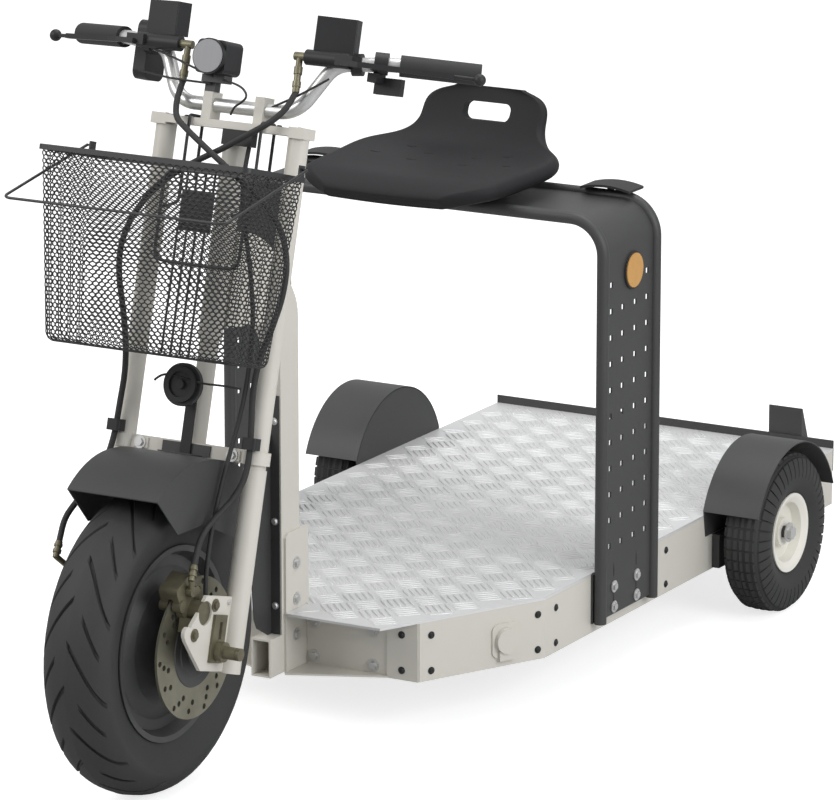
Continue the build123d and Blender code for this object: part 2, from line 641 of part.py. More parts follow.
neck_front_low = axis_point(-head_tube_r + 2, neck_low)
neck_front_high = axis_point(-head_tube_r + 2, neck_high)
neck_start = 655.0
profile = Polyline((column_front_y, 600), (column_front_y, spine_top), (column_rear_y, spine_top),
                   (column_rear_y, neck_start))
crest = Spline((column_rear_y, neck_start), (column_rear_y - 24, neck_start + 60), neck_front_high,
               tangents=((0, 1), (-1, 0.12)))
front_edge = Line(neck_front_high, neck_front_low)
throat = Spline(neck_front_low, (column_front_y, 600), tangents=((1, -0.2), (0, -1)))
wires = profile.edges() + crest.edges() + front_edge.edges() + throat.edges()
column_face = Plane.YZ * make_face(wires)
column = extrude(column_face, amount=spine_half, both=True)
head_middle = (head_tube_low + head_tube_top) / 2
head = Pos(0, 0, head_middle) * Cylinder(head_tube_r, head_tube_length)
head -= Pos(0, 0, head_middle) * Cylinder(steerer_r + turning_gap, 2 * head_tube_length)
pieces["head_tube"] = steered(head)
head_room = Pos(0, 0, head_middle) * Cylinder(head_tube_r + 0.1, 4 * head_tube_length)
pieces["column"] = column - steered(head_room)
plate_outline = [(-383, tray_low), (-313.5, tray_low), (-313.5, 316), (-376, 316), (-383, 309)]
cheek = plate_yz(plate_outline, spine_half, plate_out)
pieces["column_brackets"] = both_sides(cheek)

# Splash guard: a strip screwed to the column's front and a wing bent forward behind the wheel
strip = slab(guard_fold_x, 15, column_front_y - 2, column_front_y, spine_top + 1, 540)
wing_low = spine_top + 0.5
wing_outline = [(column_front_y, 487), (column_front_y, wing_low), (column_front_y - 12, wing_low),
                (-434, 172), (-442, 188), (-448, 253), (-437, 400)]
wing = plate_yz(wing_outline, guard_fold_x - 2, guard_fold_x)
pieces["column_guard"] = strip + wing


# Arch: two bent tubes and the perforated sheet between them
def arch_path(y):
    right = [(-arch_x, y, arch_foot_z), (-arch_x, y, arch_top_z)]
    left = [(arch_x, y, arch_top_z), (arch_x, y, arch_foot_z)]
    return right + left, [arch_bend_r, arch_bend_r]


arch_tubes = [tube_on(*arch_path(y), arch_tube_r) for y in (arch_front_y, arch_rear_y)]
pieces["arch_tubes"] = Compound(children=arch_tubes)
half_sheet = panel_thick / 2
y0, y1 = arch_front_y + arch_tube_r, arch_rear_y - arch_tube_r
foot_low = arch_foot_z + 6
outer_wall = slab(-arch_x - half_sheet, arch_x + half_sheet, y0, y1, foot_low, arch_top_z + half_sheet)
inner_wall = slab(-arch_x + half_sheet, arch_x - half_sheet, y0 - 1, y1 + 1, 0, arch_top_z - half_sheet)
outer_wall = fillet(outer_wall.edges().filter_by(Axis.Y).group_by(Axis.Z)[-1], arch_bend_r + half_sheet)
inner_wall = fillet(inner_wall.edges().filter_by(Axis.Y).group_by(Axis.Z)[-1], arch_bend_r - half_sheet)
panel = outer_wall - inner_wall
cutters = []
rows = round((arch_top_z - arch_bend_r - hole_first_z) / hole_pitch)
for y in hole_columns:
    for z in [hole_first_z + hole_pitch * k for k in range(rows)]:
        if hypot(y - reflector_y, z - reflector_z) > reflector_r + hole_size:
            cutters.append(Pos(0, y, z) * Box(3 * arch_x, hole_size, hole_size))
panel -= Compound(children=cutters)
pieces["arch_panel"] = panel
spacer = slab(deck_half, arch_x - arch_tube_r, arch_front_y - 8, arch_front_y + 8, arch_foot_z, deck_top - 2)
clamp_plate = slab(deck_half, arch_x - half_sheet, y0 + 5, y1 - 5, foot_low + 2, deck_top - 8)
pieces["arch_feet"] = Compound(children=[spacer, clamp_plate, mirrored(spacer), mirrored(clamp_plate)])

# Curved rubber pads on the arch's rear tube, each on a short post
tube_top = arch_top_z + arch_tube_r
pad_low, pad_rise, pad_sheet = tube_top + 1, 6.0, 4.0
pad_x0, pad_x1 = 222.0, 311.0
middle = (pad_x0 + pad_x1) / 2
under = ThreePointArc((pad_x0, 216, pad_low), (middle, 216, pad_low + pad_rise), (pad_x1, 216, pad_low))
over = ThreePointArc((pad_x0, 216, pad_low + pad_sheet), (middle, 216, pad_low + pad_rise + pad_sheet),
                     (pad_x1, 216, pad_low + pad_sheet))
sides = [Line(under @ 0, over @ 0), Line(under @ 1, over @ 1)]
pad = extrude(make_face([under, over] + sides), amount=52, dir=(0, 1, 0))
post_low, post_top = tube_top + 0.3, pad_low + pad_rise
post = Pos(middle, arch_rear_y, (post_low + post_top) / 2) * Cylinder(6, post_top - post_low)
pieces["arch_pads"] = both_sides(pad + post)

# Round side reflectors
ring_x0 = arch_x + half_sheet
ring = on_x(ring_x0 + 1.5, reflector_y, reflector_z, reflector_r, 3)
pieces["reflector_rings"] = both_sides(ring)
amber = on_x(ring_x0 + 3.75, reflector_y, reflector_z, reflector_r - 3, 1.5)
pieces["reflectors"] = both_sides(amber)


# Seat: moulded shell, a dished pan that turns up into the backrest
def seat_section(y, z, lean, half_width, thick, dish):
    """A crescent across the vehicle; lean is the surface's slope at that place, in degrees."""
    plane = Plane((0, y, z), x_dir=(1, 0, 0), z_dir=(0, -cos(radians(lean)), -sin(radians(lean))))
    top, low = thick / 2, -thick / 2
    upper = ThreePointArc((-half_width, dish + top), (0, top), (half_width, dish + top))
    right = ThreePointArc((half_width, dish + top), (half_width + top, dish), (half_width, dish + low))
    lower = ThreePointArc((half_width, dish + low), (0, low), (-half_width, dish + low))
    left = ThreePointArc((-half_width, dish + low), (-half_width - top, dish), (-half_width, dish + top))
    return plane * make_face(upper.edges() + right.edges() + lower.edges() + left.edges())


seat_base_z = arch_top_z + half_sheet
seat_low = seat_base_z + seat_base_thick
pieces["seat_mount"] = slab(-90, 90, 75, 221, seat_base_z, seat_low)
seat_profile = [
    (-34, 3, 40, 104, 14, 1), (-12, 16, 14, 140, 26, 2), (50, 19, 0, 168, 30, 5), (150, 19, 0, 174, 30, 8),
    (228, 22, 8, 164, 28, 11), (276, 36, 38, 124, 25, 14), (306, 66, 64, 106, 21, 16),
    (322, 98, 76, 103, 17, 16),
    (328, 116, 80, 84, 14, 12), (329, 126, 80, 58, 11, 8),
]
seat = loft([seat_section(y, seat_low + z, *rest) for y, z, *rest in seat_profile])
hole_plane = Plane((0, 400, seat_low + 74.5), x_dir=(1, 0, 0), z_dir=(0, -1, 0.15))
hand_hole = hole_plane * RectangleRounded(88, 30, 12)
seat -= extrude(hand_hole, 160)
seat_foot = slab(-84, 84, 82, 214, seat_low, seat_low + 12)
pieces["seat_shell"] = seat + seat_foot


# Rear mudguards and stub axles
def rear_guard():
    r_in, r_out, x0, x1 = 155.0, 157.0, deck_half + 5, rear_outer_x + 1
    steps = 10
    angles = [radians(20 + (158 - 20) * k / steps) for k in range(steps + 1)]
    outer = [(rear_axle_y + r_out * cos(a), rear_tyre_r + r_out * sin(a)) for a in angles]
    inner = [(rear_axle_y + r_in * cos(a), rear_tyre_r + r_in * sin(a)) for a in reversed(angles)]
    sheet = plate_yz(outer + inner, x0, x1)
    wall_outline = outer + [(outer[-1][0] + 8, 150), (outer[0][0] - 8, 150)]
    sheet += plate_yz(wall_outline, deck_half, deck_half + 2)
    sheet += plate_yz(outer + inner, deck_half, x0)
    return sheet


def stub_axle():
    z0, z1 = tray_low + 2, 148
    block = slab(deck_half, deck_half + 14, rear_axle_y - 110, rear_axle_y + 60, z0, z1)
    block += on_x(deck_half + 8, rear_axle_y, rear_tyre_r, 12, 16)
    pin_end = rear_outer_x - 12
    block += on_x((deck_half + pin_end) / 2, rear_axle_y, rear_tyre_r, 10, pin_end - deck_half)
    return block


pieces["rear_mudguards"] = both_sides(rear_guard())
pieces["stub_axles"] = both_sides(stub_axle())

for name, shape in pieces.items():
    export_step(shape, f"parts/{name}.step")
print(len(pieces), "nodes")
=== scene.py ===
# %% [markdown]
# # Industrial scooter: the looks
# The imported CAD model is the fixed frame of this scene. Each cell below adds one thing to it:
# the view of the photograph, the light, the surface finishes, and then the pieces that the solids leave out.

# %% Load the frame
import json
from math import cos, pi, radians, sin

import bmesh
import bpy
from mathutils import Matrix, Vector


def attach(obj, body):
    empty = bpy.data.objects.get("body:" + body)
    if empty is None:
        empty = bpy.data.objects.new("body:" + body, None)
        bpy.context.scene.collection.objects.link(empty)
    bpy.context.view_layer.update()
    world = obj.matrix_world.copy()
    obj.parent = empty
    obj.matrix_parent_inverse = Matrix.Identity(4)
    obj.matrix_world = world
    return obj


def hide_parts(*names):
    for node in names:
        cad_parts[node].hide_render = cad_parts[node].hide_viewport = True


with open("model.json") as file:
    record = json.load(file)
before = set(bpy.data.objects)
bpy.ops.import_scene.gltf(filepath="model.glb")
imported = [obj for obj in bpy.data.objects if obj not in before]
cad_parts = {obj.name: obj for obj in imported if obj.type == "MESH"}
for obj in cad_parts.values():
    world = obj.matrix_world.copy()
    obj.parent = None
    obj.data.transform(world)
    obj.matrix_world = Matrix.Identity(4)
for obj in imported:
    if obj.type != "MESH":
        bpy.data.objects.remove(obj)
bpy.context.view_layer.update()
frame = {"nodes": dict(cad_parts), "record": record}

# %% [markdown]
# ## The camera
# The view was solved from straight edges of the deck, the arch and the wheels. A short lens close by would
# spread the deck's lines apart, so this is a long lens nine metres away, 29.45 degrees round to the vehicle's
# left and 14.23 degrees above the floor.

# %% Camera at the photograph's view
azimuth, elevation = radians(29.45), radians(14.23)
target = Vector((0.0, 0.0824, 0.4276))
distance = 8.988
view_way = Vector((sin(azimuth) * cos(elevation), -cos(azimuth) * cos(elevation), sin(elevation)))
eye = target + distance * view_way
camera_data = bpy.data.cameras.new("camera")
camera_data.lens = 235.9
camera_data.sensor_width = 36.0
camera_data.clip_end = 60.0
camera = bpy.data.objects.new("camera", camera_data)
camera.location = eye
camera.rotation_euler = (target - eye).to_track_quat("-Z", "Y").to_euler()
bpy.context.scene.collection.objects.link(camera)
bpy.context.scene.camera = camera
bpy.context.scene.view_settings.view_transform = "Standard"
print("camera at", [round(v, 3) for v in eye])

# %% [markdown]
# ## Floor and light
# The photograph has a white floor with a soft shadow. Stronger lamps would whiten the floor, but would also
# bleach the beige paint. Here the floor glows a little for the camera alone, so that it shows white and still
# takes the shadow. Large soft lamps stand left, right and above, as in a studio.


# %% Nodes in short
def node(tree, kind, **values):
    """A new node with its properties and inputs set by name."""
    made = tree.nodes.new(kind)
    for key, value in values.items():
        if hasattr(made, key):
            setattr(made, key, value)
        else:
            made.inputs[key.replace("_", " ")].default_value = value
    return made


def link(tree, a, out, b, into):
    tree.links.new(a.outputs[out], b.inputs[into])


# %% Floor
floor_glow = 0.74


def stage_material():
    """Pale grey that adds its own light where the camera looks straight at it."""
    mat = bpy.data.materials.new("floor_white")
    mat.use_nodes = True
    tree = mat.node_tree
    tree.nodes.clear()
    out = node(tree, "ShaderNodeOutputMaterial")
    body = node(tree, "ShaderNodeBsdfPrincipled", Base_Color=(0.52, 0.52, 0.52, 1), Roughness=0.8)
    rays = node(tree, "ShaderNodeLightPath")
    glow = node(tree, "ShaderNodeMath", operation="MULTIPLY")
    glow.inputs[1].default_value = floor_glow
    body.inputs["Emission Color"].default_value = (1, 1, 1, 1)
    link(tree, rays, "Is Camera Ray", glow, 0)
    link(tree, glow, "Value", body, "Emission Strength")
    link(tree, body, "BSDF", out, "Surface")
    return mat


reach = 9.0
floor_mesh = bpy.data.meshes.new("floor")
floor_corners = [(-reach, -reach, 0), (reach, -reach, 0), (reach, reach, 0), (-reach, reach, 0)]
floor_mesh.from_pydata(floor_corners, [], [(0, 1, 2, 3)])
floor = bpy.data.objects.new("floor", floor_mesh)
floor_mesh.materials.append(stage_material())
bpy.context.scene.collection.objects.link(floor)
print("floor:", 2 * reach, "m wide, glow", floor_glow)

# %% World
world = bpy.data.worlds.new("studio")
bpy.context.scene.world = world
world.use_nodes = True
tree = world.node_tree
tree.nodes.clear()
world_out = node(tree, "ShaderNodeOutputWorld")
rays = node(tree, "ShaderNodeLightPath")
seen = node(tree, "ShaderNodeMath", operation="MAXIMUM")
link(tree, rays, "Is Camera Ray", seen, 0)
link(tree, rays, "Is Transmission Ray", seen, 1)
soft = node(tree, "ShaderNodeBackground", Color=(0.97, 0.98, 1.0, 1), Strength=0.66)
white = node(tree, "ShaderNodeBackground", Color=(1, 1, 1, 1), Strength=1.0)
mix = node(tree, "ShaderNodeMixShader")
link(tree, seen, "Value", mix, "Fac")
tree.links.new(soft.outputs[0], mix.inputs[1])
tree.links.new(white.outputs[0], mix.inputs[2])
link(tree, mix, "Shader", world_out, "Surface")
print("world:", len(tree.nodes), "nodes")

# %% Lamps
lamps = (
    ("key", (-3.2, -3.6, 3.6), 2.6, 125.0, (1.0, 0.99, 0.97)),
    ("side", (4.2, -1.2, 2.4), 2.4, 108.0, (0.97, 0.98, 1.0)),
    ("top", (0.3, 0.6, 4.4), 3.2, 95.0, (1.0, 1.0, 1.0)),
)
lit_point = Vector((0, 0, 0.5))
for name, place, size, power, colour in lamps:
    lamp = bpy.data.lights.new(name, "AREA")
    lamp.size, lamp.energy, lamp.color = size, power, colour
    holder = bpy.data.objects.new(name, lamp)
    holder.location = place
    holder.rotation_euler = (lit_point - Vector(place)).to_track_quat("-Z", "Y").to_euler()
    bpy.context.scene.collection.objects.link(holder)
print("lamps:", len(lamps))

# %% [markdown]
# ## Surface finishes
# The frame is beige powder coat, the arch and mudguards are anthracite, and the rest is rubber, moulded
# plastic and bare metal. Picture textures would stretch on the bends, so every finish is a procedural
# material on object coordinates, in metres, and its grain keeps one size on all pieces. Each takes two tones
# that noise blends, a roughness with its own unevenness, and a fine bump.


# %% A finish with tone, sheen and grain
def finish(name, colour, second=None, tone_scale=6.0, tone_mix=0.35, rough=0.5, rough_spread=0.08,
           bump_scale=900.0, bump=0.08, stretch=(1, 1, 1), metallic=0.0, coat=0.0, specular=0.5):
    """Two tones of a paint, metal or moulding, with uneven roughness and a fine bump."""
    mat = bpy.data.materials.new(name)
    mat.use_nodes = True
    tree = mat.node_tree
    tree.nodes.clear()
    out = node(tree, "ShaderNodeOutputMaterial")
    body = node(tree, "ShaderNodeBsdfPrincipled", Metallic=metallic)
    body.inputs["Coat Weight"].default_value = coat
    body.inputs["Specular IOR Level"].default_value = specular
    link(tree, body, "BSDF", out, "Surface")
    place = node(tree, "ShaderNodeTexCoord")
    scaled = node(tree, "ShaderNodeMapping", Scale=stretch)
    link(tree, place, "Object", scaled, "Vector")
    second = second or tuple(c * 0.82 for c in colour)
    cloud = node(tree, "ShaderNodeTexNoise", Scale=tone_scale, Detail=3.0, Roughness=0.6)
    link(tree, scaled, "Vector", cloud, "Vector")
    ramp = node(tree, "ShaderNodeMapRange")
    ramp.inputs["From Min"].default_value, ramp.inputs["From Max"].default_value = 0.35, 0.7
    ramp.inputs["To Max"].default_value = tone_mix
    link(tree, cloud, "Fac", ramp, "Value")
    blend = node(tree, "ShaderNodeMix", data_type="RGBA")
    sockets = [s for s in blend.inputs if s.type == "RGBA"]
    sockets[0].default_value = (*colour, 1)
    sockets[1].default_value = (*second, 1)
    tree.links.new(ramp.outputs["Result"], blend.inputs["Factor"])
    tree.links.new([s for s in blend.outputs if s.type == "RGBA"][0], body.inputs["Base Color"])
    grain = node(tree, "ShaderNodeTexNoise", Scale=bump_scale, Detail=2.0)
    link(tree, scaled, "Vector", grain, "Vector")
    uneven = node(tree, "ShaderNodeMapRange")
    uneven.inputs["To Min"].default_value = max(rough - rough_spread, 0.03)
    uneven.inputs["To Max"].default_value = min(rough + rough_spread, 1.0)
    link(tree, cloud, "Fac", uneven, "Value")
    link(tree, uneven, "Result", body, "Roughness")
    raised = node(tree, "ShaderNodeBump", Strength=bump, Distance=0.0006)
    link(tree, grain, "Fac", raised, "Height")
    link(tree, raised, "Normal", body, "Normal")
    return mat


# %% The finishes of this scooter
slot_finish = {
    "frame_paint": finish("beige_powder_coat", (0.565, 0.545, 0.49), (0.51, 0.49, 0.435), tone_scale=4,
                          tone_mix=0.5, rough=0.42, bump_scale=1400, bump=0.10),
    "dark_paint": finish("anthracite_powder_coat", (0.034, 0.034, 0.034), (0.052, 0.052, 0.051), tone_scale=7,
                         rough=0.5, bump_scale=1800, bump=0.22),
    "deck_metal": finish("deck_aluminium", (0.67, 0.67, 0.665), (0.58, 0.58, 0.58), tone_scale=9, rough=0.44,
                         rough_spread=0.10, bump_scale=700, bump=0.10, metallic=0.4),
    "bright_steel": finish("handlebar_steel", (0.58, 0.58, 0.57), (0.48, 0.48, 0.47), rough=0.36,
                           metallic=0.75, bump_scale=1200, bump=0.04),
    "olive_metal": finish("olive_passivated", (0.19, 0.175, 0.115), (0.12, 0.11, 0.075), tone_scale=30,
                          tone_mix=0.8, rough=0.45, metallic=0.7, bump_scale=900, bump=0.12),
    "rubber_black": finish("rubber", (0.016, 0.016, 0.016), (0.03, 0.03, 0.03), rough=0.7,
                           bump_scale=1500, bump=0.2),
    "tyre": finish("tyre_rubber", (0.020, 0.020, 0.020), (0.036, 0.035, 0.034), tone_scale=12, rough=0.68,
                   bump_scale=1100, bump=0.25),
    "wheel_rim": finish("cream_wheel_paint", (0.73, 0.71, 0.64), (0.66, 0.64, 0.57), rough=0.4, bump=0.08),
    "motor_metal": finish("motor_casing", (0.05, 0.05, 0.05), (0.075, 0.075, 0.075), rough=0.45, bump=0.15,
                          metallic=0.2),
    "plastic_black": finish("black_moulding", (0.014, 0.014, 0.015), (0.025, 0.025, 0.026), rough=0.46,
                            bump_scale=1700, bump=0.14, specular=0.32),
    "seat_plastic": finish("seat_shell_black", (0.013, 0.013, 0.014), (0.022, 0.022, 0.023), rough=0.62,
                           specular=0.2, bump_scale=2200, bump=0.12),
    "disc_steel": finish("brake_disc_steel", (0.27, 0.26, 0.20), (0.20, 0.19, 0.14), tone_scale=20,
                         tone_mix=0.7, rough=0.4, metallic=0.8, bump_scale=1400, bump=0.08),
    "mesh_metal": finish("black_coated_wire", (0.013, 0.013, 0.014), (0.03, 0.03, 0.03), rough=0.42,
                         bump=0.12),
    "lens": finish("lamp_lens", (0.25, 0.25, 0.26), (0.20, 0.20, 0.21), rough=0.4, bump=0.02,
                   stretch=(60, 1, 1), specular=0.4),
    "amber": finish("amber_reflector", (0.52, 0.27, 0.06), (0.42, 0.20, 0.04), tone_scale=60, rough=0.3,
                    bump=0.02, coat=0.15),
    "battery_case": finish("battery_casing", (0.02, 0.02, 0.022), rough=0.5),
}

# %% The finishes on the solids
# The photograph shows these nodes in the frame's beige, also where the record's slot names another finish.
beige_too = ("bar_risers", "socket_flange", "socket_lid")
for name, piece in frame["nodes"].items():
    slot = next(s["material_slot"] for s in frame["record"]["subparts"] if s["node"] == name)
    if name in beige_too:
        slot = "frame_paint"
    for held in piece.material_slots:
        held.material = slot_finish[slot]
print("finishes:", len(slot_finish))

# %% [markdown]
# ## Places on the scooter
# Points are in millimetres, as in the solids' source. The steering axis leans back by 15.5 degrees, and a
# place on the fork is hard to say upright. So the steered parts are measured across, forwards of that axis
# and along it, and one function turns such a place into the vehicle's own axes.

# %% From the steering axis to the vehicle
MM = 0.001
rake = radians(15.5)
axis_foot_y = -753.5
crown_h = 1012.0
rim_h = crown_h - 62.0
bridge_h = 513.0
front_axle_at = (0, -750.5, 237.0)
rear_axle_y, rear_axle_z = 597.0, 136.5


def steered(x, f, h):
    """A point of the steering frame in metres."""
    return Vector((x, axis_foot_y - f * cos(rake) + h * sin(rake), f * sin(rake) + h * cos(rake))) * MM


def spot(x, y, z):
    """A point of the vehicle in metres."""
    return Vector((x, y, z)) * MM


forwards = Vector((0, -cos(rake), sin(rake)))
along_axis = Vector((0, sin(rake), cos(rake)))
left, front, up = Vector((1, 0, 0)), Vector((0, -1, 0)), Vector((0, 0, 1))
print("rim of the basket at", [round(v, 3) for v in steered(0, 262, rim_h)])


# %% From points to a piece
sharp_from = radians(32)


def piece_of(name, points, edges, faces, body, slot, smooth=False):
    """A mesh object in place, in a slot's finish, riding on a body."""
    mesh = bpy.data.meshes.new(name)
    mesh.from_pydata([tuple(p) for p in points], edges, faces)
    made = bpy.data.objects.new(name, mesh)
    bpy.context.scene.collection.objects.link(made)
    mesh.materials.append(slot_finish[slot])
    if faces:
        shell = bmesh.new()
        shell.from_mesh(mesh)
        bmesh.ops.recalc_face_normals(shell, faces=shell.faces)
        shell.to_mesh(mesh)
        shell.free()
    if smooth:
        mesh.shade_smooth()
        mesh.set_sharp_from_angle(angle=sharp_from)
    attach(made, body)
    return made


# %% From a guide and a tree to a piece
def grown(name, guide, tree, sizes, body, slot, smooth=False):
    """Runs a Geometry Nodes tree on a guide mesh and keeps the result as a plain mesh."""
    holder = bpy.data.objects.new(name + "_guide", guide)
    bpy.context.scene.collection.objects.link(holder)
    repeat = holder.modifiers.new("repeat", "NODES")
    repeat.node_group = tree
    for item in tree.interface.items_tree:
        if item.in_out == "INPUT" and item.name in sizes:
            repeat[item.identifier] = sizes[item.name]
        if item.in_out == "INPUT" and item.name == "Finish":
            repeat[item.identifier] = slot_finish[slot]
    graph = bpy.context.evaluated_depsgraph_get()
    mesh = bpy.data.meshes.new_from_object(holder.evaluated_get(graph))
    mesh.name = name
    made = bpy.data.objects.new(name, mesh)
    bpy.context.scene.collection.objects.link(made)
    holder.modifiers.remove(repeat)
    bpy.data.objects.remove(holder)
    if smooth:
        mesh.shade_smooth()
    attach(made, body)
    print(name, len(mesh.polygons), "faces")
    return made


def guide_of(name, points, directions, edges=()):
    """A mesh of places, each with the direction its instance turns to."""
    mesh = bpy.data.meshes.new(name)
    mesh.from_pydata([tuple(p) for p in points], list(edges), [])
    turned = mesh.attributes.new("outward", "FLOAT_VECTOR", "POINT")
    turned.data.foreach_set("vector", [c for d in directions for c in d])
    return mesh


# %% [markdown]
# ## Screws and bolts
# The scooter is bolted together: hexagon bolts on washers at the column, the nose and the arch's feet,
# and black round-headed screws along the tray. Each head could be modelled by itself, but a size would
# then be changed sixty-three times. One Geometry Nodes tree sets a head and a washer on each place instead.


# %% Helpers for every Geometry Nodes tree
def new_tree(name, sizes):
    """A Geometry Nodes tree with named inputs for its sizes and its finish."""
    tree = bpy.data.node_groups.new(name, "GeometryNodeTree")
    tree.interface.new_socket(name="Geometry", in_out="INPUT", socket_type="NodeSocketGeometry")
    for key, kind, value in sizes:
        socket = tree.interface.new_socket(name=key, in_out="INPUT", socket_type=kind)
        socket.default_value = value
    tree.interface.new_socket(name="Finish", in_out="INPUT", socket_type="NodeSocketMaterial")
    tree.interface.new_socket(name="Geometry", in_out="OUTPUT", socket_type="NodeSocketGeometry")
    return tree, node(tree, "NodeGroupInput"), node(tree, "NodeGroupOutput")


def turned_on_points(tree, entry, shape, axis="Z"):
    """Instances of a shape on the guide's points, with the given axis turned to the outward direction."""
    outward = node(tree, "GeometryNodeInputNamedAttribute", data_type="FLOAT_VECTOR", Name="outward")
    turn = node(tree, "FunctionNodeAlignRotationToVector", axis=axis)
    link(tree, outward, "Attribute", turn, "Vector")
    spread = node(tree, "GeometryNodeInstanceOnPoints")
    link(tree, entry, "Geometry", spread, "Points")
    tree.links.new(shape, spread.inputs["Instance"])
    link(tree, turn, "Rotation", spread, "Rotation")
    return spread


def close_tree(tree, entry, geometry, leave):
    """Makes the instances real, because the export drops them, and gives them their finish."""
    real = node(tree, "GeometryNodeRealizeInstances")
    paint = node(tree, "GeometryNodeSetMaterial")
    tree.links.new(geometry, real.inputs["Geometry"])
    link(tree, real, "Geometry", paint, "Geometry")
    link(tree, entry, "Finish", paint, "Material")
    link(tree, paint, "Geometry", leave, "Geometry")


# %% The tree that sets fasteners
fastener_tree, entry, leave = new_tree("fasteners", [
    ("Head radius", "NodeSocketFloat", 0.006), ("Crown radius", "NodeSocketFloat", 0.005),
    ("Head height", "NodeSocketFloat", 0.004), ("Sides", "NodeSocketInt", 6),
    ("Washer radius", "NodeSocketFloat", 0.009), ("Washer height", "NodeSocketFloat", 0.0015)])
head = node(fastener_tree, "GeometryNodeMeshCone")
link(fastener_tree, entry, "Sides", head, "Vertices")
link(fastener_tree, entry, "Head radius", head, "Radius Bottom")
link(fastener_tree, entry, "Crown radius", head, "Radius Top")
link(fastener_tree, entry, "Head height", head, "Depth")
washer = node(fastener_tree, "GeometryNodeMeshCone", Vertices=20)
link(fastener_tree, entry, "Washer radius", washer, "Radius Bottom")
link(fastener_tree, entry, "Washer radius", washer, "Radius Top")
link(fastener_tree, entry, "Washer height", washer, "Depth")
both = node(fastener_tree, "GeometryNodeJoinGeometry")
link(fastener_tree, head, "Mesh", both, "Geometry")
link(fastener_tree, washer, "Mesh", both, "Geometry")
set_out = turned_on_points(fastener_tree, entry, both.outputs["Geometry"])
close_tree(fastener_tree, entry, set_out.outputs["Instances"], leave)
print("fastener tree:", len(fastener_tree.nodes), "nodes")

# %% Sizes of the fasteners
hexagon = {"Head radius": 0.0065, "Crown radius": 0.006, "Head height": 0.005, "Sides": 6,
           "Washer radius": 0.0100, "Washer height": 0.0016}
button = {"Head radius": 0.0052, "Crown radius": 0.0030, "Head height": 0.0030, "Sides": 14,
          "Washer radius": 0.0060, "Washer height": 0.0008}
small = {"Head radius": 0.004, "Crown radius": 0.0026, "Head height": 0.0022, "Sides": 12,
         "Washer radius": 0.0045, "Washer height": 0.0006}
large_nut = {"Head radius": 0.0125, "Crown radius": 0.0115, "Head height": 0.009, "Sides": 6,
             "Washer radius": 0.017, "Washer height": 0.002}


def fasteners(name, spots, sizes, body, slot, look=None):
    """Heads and washers at (place, direction) pairs, in the slot's finish or in a closer look."""
    points, directions = zip(*spots)
    made = grown(name, guide_of(name, points, directions), fastener_tree, sizes, body, slot)
    if look:
        made.data.materials[0] = look
    return made


zinc = finish("zinc_plating", (0.80, 0.80, 0.79), (0.66, 0.66, 0.65), tone_scale=80, rough=0.4, metallic=0.5)


# %% Fasteners of the chassis and column
deck_half, bracket_out = 334.5, 21.5
flare_turn = radians(-26.8)
flare = Vector((cos(flare_turn), sin(flare_turn), 0))


def both_sides(spots):
    """The same places on the right-hand side."""
    return spots + [(Vector((-p.x, p.y, p.z)), Vector((-d[0], d[1], d[2]))) for p, d in spots]


bracket_bolts = both_sides([(spot(bracket_out, -352, z), left) for z in (262, 204, 146)])
nose_bolts = both_sides([(spot(x, y, z), front) for x, y in ((35.5, -320), (143, -320)) for z in (104, 160)])
foot_bolts = both_sides([(spot(350, y, z), left) for y in (100.6, 180) for z in (156.5, 122.5)])
tray_screws = both_sides([(spot(x, y, z), way) for x, y, way in (
    (195.6, -322.5, front), (236.3, -300.5, flare), (328.2, -118.8, flare), (deck_half, -70, left),
    (deck_half, 316, left), (deck_half, 880, left)) for z in (104, 162)])
strip_screws = [(spot(7, -391.5, z), front) for z in (499, 337, 200)]
fasteners("column_bolts", bracket_bolts, hexagon, "frame", "bright_steel", zinc)
fasteners("nose_bolts", nose_bolts, hexagon, "frame", "bright_steel", zinc)
fasteners("arch_foot_bolts", foot_bolts, hexagon, "frame", "bright_steel", zinc)
fasteners("tray_screws", tray_screws, button, "frame", "plastic_black")
fasteners("guard_strip_screws", strip_screws, button, "frame", "bright_steel", zinc)

# %% Fasteners of the fork
tab_bolts = [(steered(x, 27.5, bridge_h + 10), forwards) for x in (-82, 82)]
plate_x = 117
plate_bolts = both_sides([(steered(plate_x, f, h), left) for f, h in ((79, 298), (129, 251.5))])
plate_screws = both_sides([(steered(plate_x, 40, 303), left)])
crown_bolts = both_sides([(steered(x, 16, crown_h + 12), along_axis) for x in (118, 82)])
fasteners("bridge_bolts", tab_bolts, hexagon, "steering", "bright_steel", zinc)
fasteners("axle_plate_bolts", plate_bolts, hexagon, "steering", "olive_metal")
fasteners("axle_plate_screws", plate_screws, small, "steering", "bright_steel", zinc)
fasteners("crown_bolts", crown_bolts, button, "steering", "plastic_black")
wheel_nuts = both_sides([(spot(424, rear_axle_y, rear_axle_z), left)])
for side, choice in (("left", wheel_nuts[:1]), ("right", wheel_nuts[1:])):
    fasteners(f"rear_wheel_nut_{side}", choice, large_nut, f"rear_wheel_{side}", "bright_steel", zinc)

# %% [markdown]
# ## Tread of the deck
# The deck is five-bar aluminium tread plate. A bump texture would show it from above but not along the
# surface, so each raised bar is a low spindle on a point of the guide mesh, in groups of five that lean
# alternately. In the photograph the groups that lean one way stand out, so these are the higher ones.
# Bars near the edge or the column are left out.

